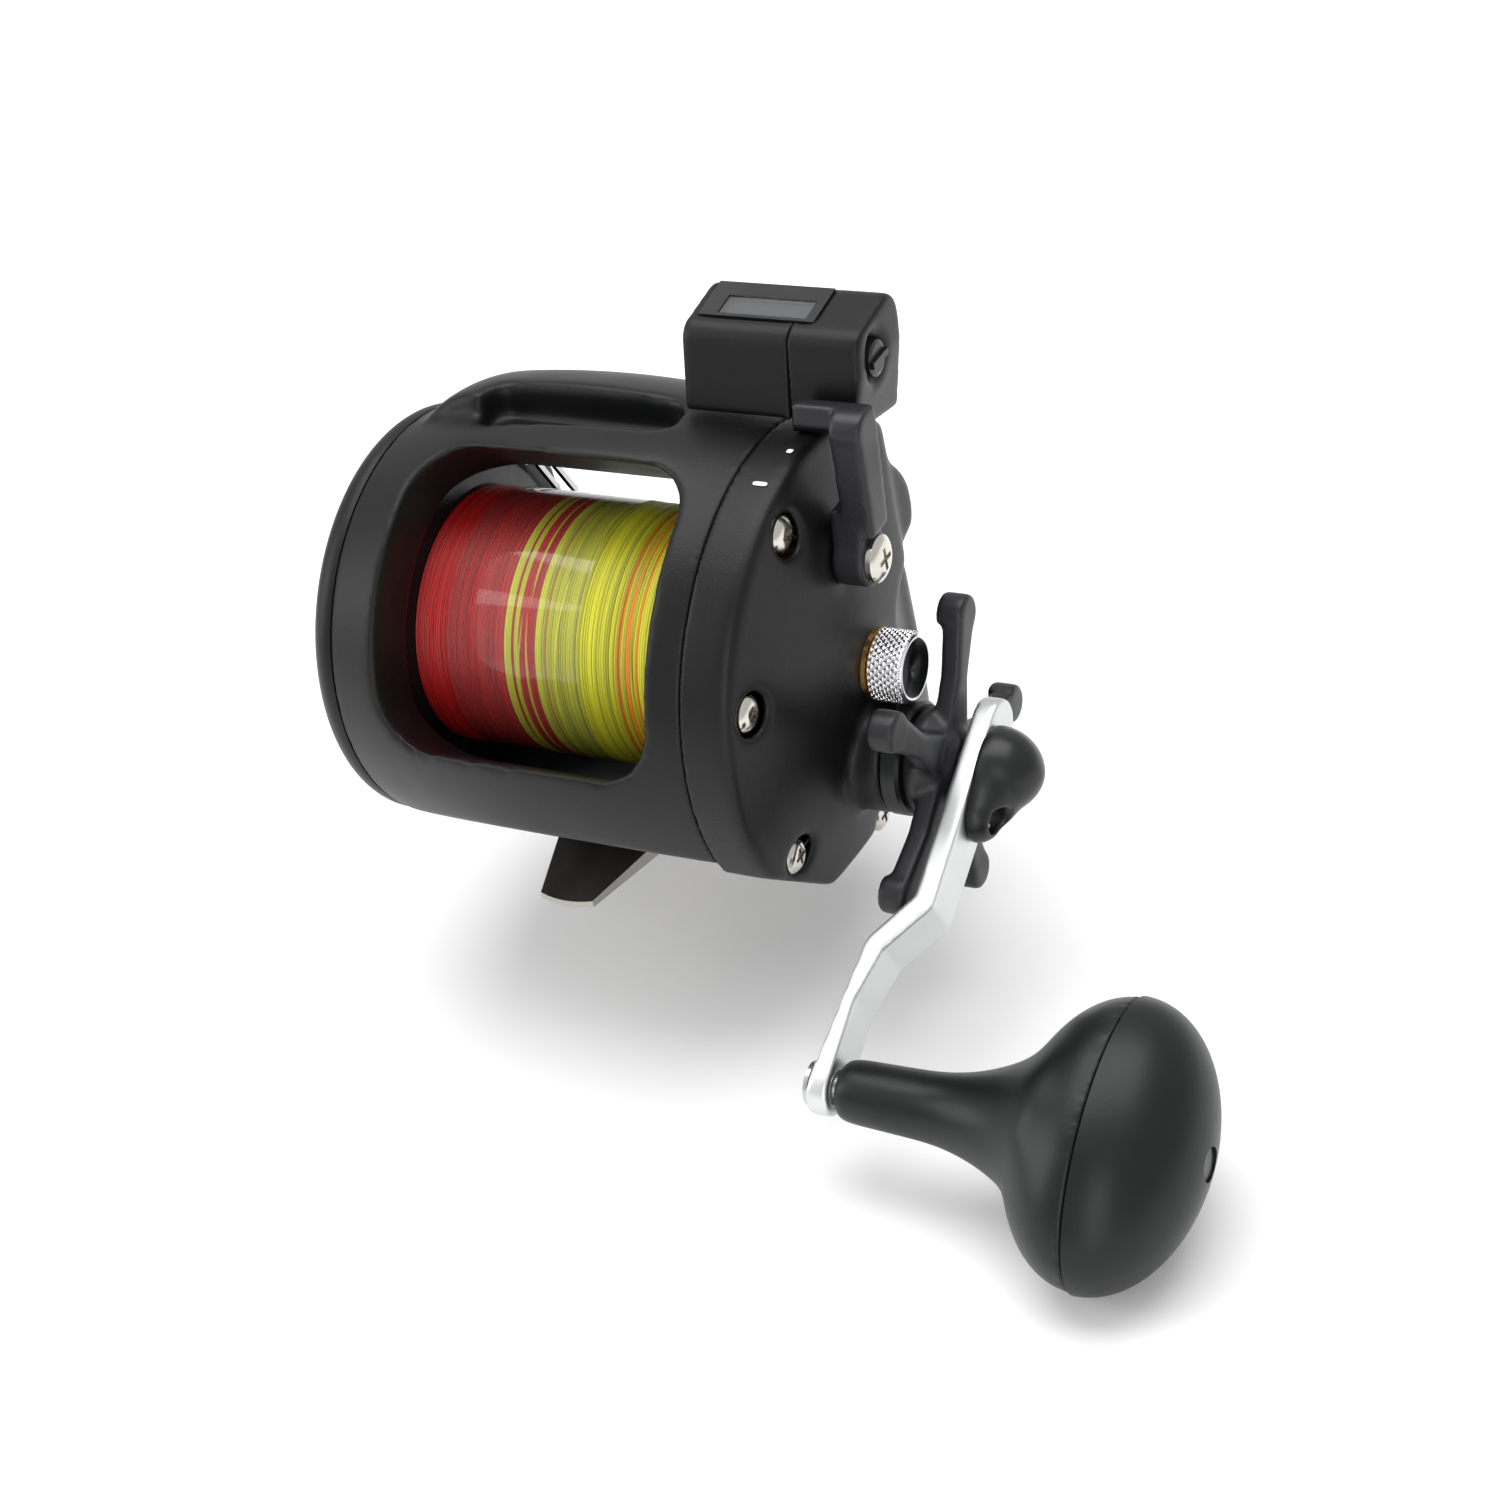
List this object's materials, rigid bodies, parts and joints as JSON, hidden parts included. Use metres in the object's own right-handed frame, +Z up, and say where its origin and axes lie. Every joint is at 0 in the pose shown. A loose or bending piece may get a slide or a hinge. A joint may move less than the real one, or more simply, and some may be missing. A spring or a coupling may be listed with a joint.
{
  "type": "trolling reel",
  "caption": "Right-handed trolling reel with a level-wind guide, line counter, thumb clutch lever, star drag and cranked power handle.",
  "frame": {"origin": "centre of the reel foot's underside", "axes": "+Z up from the foot, +X along the spool axis toward the handle, +Y toward the rod tip"},
  "size_m": [0.1575, 0.1122, 0.1101],
  "materials": {
    "housing_plastic": "fine matte grain",
    "counter_bezel_plastic": "semi-gloss",
    "counter_lens_clear": "clear",
    "lever_satin": "satin",
    "cap_plastic": "satin",
    "brass": "machined",
    "screw_nickel": "polished nickel",
    "knob_chrome": "bright chrome with cut knurling",
    "arm_silver": "satin anodised",
    "foot_steel": "brushed stainless",
    "knob_soft": "soft touch",
    "braided_line": "braided line with a red length on the left",
    "clear_film": "clear glossy film",
    "spool_black": "black anodised",
    "steel": "machined stainless",
    "gear_plastic": "natural acetal",
    "wheel_white": "moulded white"
  },
  "bodies": {
    "reel_body": {"boss_cap": "housing_plastic", "bridge_plate": "steel", "counter_bezel": "counter_bezel_plastic", "counter_cover": "housing_plastic", "counter_housing": "housing_plastic", "counter_lens": "counter_lens_clear", "foot_screws": "screw_nickel", "frame": "housing_plastic", "gear_pins": "steel", "guide_bar": "steel", "left_plate_screws": "screw_nickel", "left_side_plate": "housing_plastic", "one_way_bearing": "steel", "reel_foot": "foot_steel", "right_plate_screws": "screw_nickel", "right_side_plate": "housing_plastic", "spool_bearings": "steel", "tension_ring": "brass", "worm_guard": "steel", "yoke_springs": "steel"},
    "spool_unit": {"spool": "spool_black", "spool_shaft": "steel", "wound_line": "braided_line", "film_wrap": "clear_film", "spool_gear": "gear_plastic"},
    "handle_unit": {"drive_shaft": "steel", "main_gear": "brass", "drag_washers": "steel", "handle_arm": "arm_silver", "handle_nut": "steel", "nut_cap": "cap_plastic", "cap_screw": "screw_nickel", "knob_spindle": "steel"},
    "knob_unit": {"knob_inner": "knob_soft", "knob_outer": "knob_soft", "knob_end_plug": "cap_plastic"},
    "star_unit": {"star_drag": "lever_satin"},
    "yoke_unit": {"pinion_yoke": "steel"},
    "pinion_unit": {"pinion_gear": "steel"},
    "idler_unit": {"worm_idler": "gear_plastic"},
    "worm_unit": {"worm_shaft": "steel", "worm_gear": "gear_plastic"},
    "rise_unit": {"rise_gear": "brass"},
    "lift_unit": {"lift_gear": "gear_plastic"},
    "turn_unit": {"turn_gear": "gear_plastic"},
    "neck_unit": {"neck_gear": "gear_plastic"},
    "counter_unit": {"counter_axle": "brass", "units_wheel": "wheel_white"},
    "tens_unit": {"tens_wheel": "wheel_white"},
    "hundreds_unit": {"hundreds_wheel": "wheel_white"},
    "guide_unit": {"line_guide": "housing_plastic", "guide_wires": "steel"},
    "lever_unit": {"clutch_lever": "lever_satin", "lever_screw": "screw_nickel", "kick_cam": "steel"},
    "tension_unit": {"tension_knob": "knob_chrome"},
    "reset_unit": {"reset_knob": "cap_plastic"},
    "clicker_unit": {"clicker_button": "housing_plastic", "clicker_tongue": "steel"}
  },
  "joints": [
    {"name": "spool_spin", "type": "hinge", "parent": "reel_body", "child": "spool_unit", "pos_m": [0, 0, 0.034], "axis": [1, 0, 0], "continuous": true},
    {"name": "handle_spin", "type": "hinge", "parent": "reel_body", "child": "handle_unit", "pos_m": [0, -0.0037, 0.01935], "axis": [1, 0, 0], "continuous": true},
    {"name": "knob_spin", "type": "hinge", "parent": "handle_unit", "child": "knob_unit", "pos_m": [0, -0.05244, -0.00548], "axis": [1, 0, 0], "continuous": true},
    {"name": "star_turn", "type": "hinge", "parent": "handle_unit", "child": "star_unit", "pos_m": [0, -0.0037, 0.01935], "axis": [1, 0, 0], "range_deg": [-150, 150]},
    {"name": "yoke_slide", "type": "slide", "parent": "reel_body", "child": "yoke_unit", "axis": [1, 0, 0], "range_m": [0, 0.0008]},
    {"name": "pinion_spin", "type": "hinge", "parent": "yoke_unit", "child": "pinion_unit", "pos_m": [0, 0, 0.034], "axis": [1, 0, 0], "continuous": true},
    {"name": "idler_spin", "type": "hinge", "parent": "reel_body", "child": "idler_unit", "pos_m": [0, 0.01251, 0.02618], "axis": [1, 0, 0], "continuous": true},
    {"name": "worm_spin", "type": "hinge", "parent": "reel_body", "child": "worm_unit", "pos_m": [0, 0.02587, 0.01784], "axis": [1, 0, 0], "continuous": true},
    {"name": "rise_spin", "type": "hinge", "parent": "reel_body", "child": "rise_unit", "pos_m": [0, 0.01491, 0.04629], "axis": [1, 0, 0], "continuous": true},
    {"name": "lift_spin", "type": "hinge", "parent": "reel_body", "child": "lift_unit", "pos_m": [0, 0.01844, 0.05776], "axis": [1, 0, 0], "continuous": true},
    {"name": "turn_spin", "type": "hinge", "parent": "reel_body", "child": "turn_unit", "pos_m": [0, 0.0177, 0.06472], "axis": [1, 0, 0], "continuous": true},
    {"name": "neck_spin", "type": "hinge", "parent": "reel_body", "child": "neck_unit", "pos_m": [0, 0.015, 0.07225], "axis": [1, 0, 0], "continuous": true},
    {"name": "counter_spin", "type": "hinge", "parent": "reel_body", "child": "counter_unit", "pos_m": [0, 0.0134, 0.0806], "axis": [1, 0, 0], "continuous": true},
    {"name": "tens_spin", "type": "hinge", "parent": "reel_body", "child": "tens_unit", "pos_m": [0, 0.0134, 0.0806], "axis": [1, 0, 0], "continuous": true},
    {"name": "hundreds_spin", "type": "hinge", "parent": "reel_body", "child": "hundreds_unit", "pos_m": [0, 0.0134, 0.0806], "axis": [1, 0, 0], "continuous": true},
    {"name": "guide_slide", "type": "slide", "parent": "reel_body", "child": "guide_unit", "axis": [1, 0, 0], "range_m": [0, 0.048]},
    {"name": "lever_throw", "type": "hinge", "parent": "reel_body", "child": "lever_unit", "pos_m": [0, -0.0007, 0.0544], "axis": [1, 0, 0], "range_deg": [0, 22]},
    {"name": "tension_turn", "type": "hinge", "parent": "reel_body", "child": "tension_unit", "pos_m": [0, 0, 0.034], "axis": [1, 0, 0], "range_deg": [-180, 180]},
    {"name": "reset_turn", "type": "hinge", "parent": "reel_body", "child": "reset_unit", "pos_m": [0, 0.0134, 0.0806], "axis": [1, 0, 0], "range_deg": [0, 180]},
    {"name": "clicker_slide", "type": "slide", "parent": "reel_body", "child": "clicker_unit", "axis": [0, -1, 0], "range_m": [0, 0.0018]}
  ],
  "couplings": [
    {"joint": "handle_spin", "follows": "spool_spin", "ratio": -0.23077},
    {"joint": "pinion_spin", "follows": "spool_spin", "ratio": 1},
    {"joint": "idler_spin", "follows": "spool_spin", "ratio": -0.25532},
    {"joint": "worm_spin", "follows": "spool_spin", "ratio": 0.75},
    {"joint": "rise_spin", "follows": "spool_spin", "ratio": 0.35294},
    {"joint": "lift_spin", "follows": "spool_spin", "ratio": -1.0588},
    {"joint": "turn_spin", "follows": "spool_spin", "ratio": 0.79412},
    {"joint": "neck_spin", "follows": "spool_spin", "ratio": -0.79412},
    {"joint": "counter_spin", "follows": "spool_spin", "ratio": 0.70588},
    {"joint": "tens_spin", "follows": "spool_spin", "ratio": 0.070588},
    {"joint": "hundreds_spin", "follows": "spool_spin", "ratio": 0.0070588},
    {"joint": "yoke_slide", "follows": "lever_throw", "m_per_rad": 0.00208}
  ]
}
